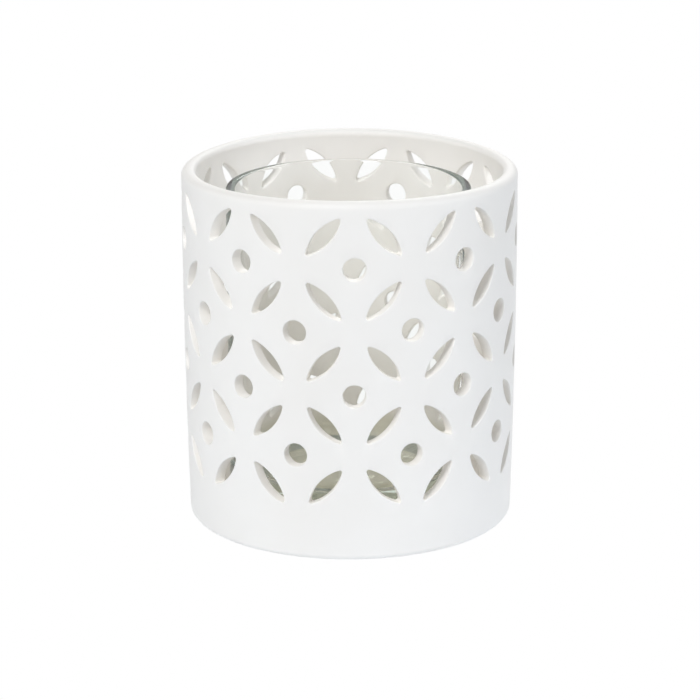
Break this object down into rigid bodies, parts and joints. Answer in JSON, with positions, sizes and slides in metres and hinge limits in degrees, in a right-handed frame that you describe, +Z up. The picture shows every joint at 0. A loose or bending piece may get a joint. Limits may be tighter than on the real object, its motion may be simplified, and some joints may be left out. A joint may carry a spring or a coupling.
{
  "type": "tealight holder",
  "caption": "Straight-sided white ceramic tealight holder, its wall pierced by a diamond lattice of leaves and round holes, with a loose clear glass cup inside.",
  "frame": {"origin": "centre of the foot ring, on the surface that the holder stands on", "axes": "+Z up along the holder's axis, -Y towards the viewer of the picture, +X to the viewer's right"},
  "size_m": [0.0944, 0.0944, 0.1008],
  "materials": {
    "ceramic": "unglazed matt white bisque",
    "clear_glass": "clear, fire-polished rim"
  },
  "bodies": {
    "ceramic_body": {"ceramic_holder": "ceramic"},
    "glass_insert": {"glass_cup": "clear_glass"}
  },
  "joints": [
    {"name": "cup_lift", "type": "slide", "parent": "ceramic_body", "child": "glass_insert", "axis": [0, 0, 1], "range_m": [0, 0.105]}
  ]
}
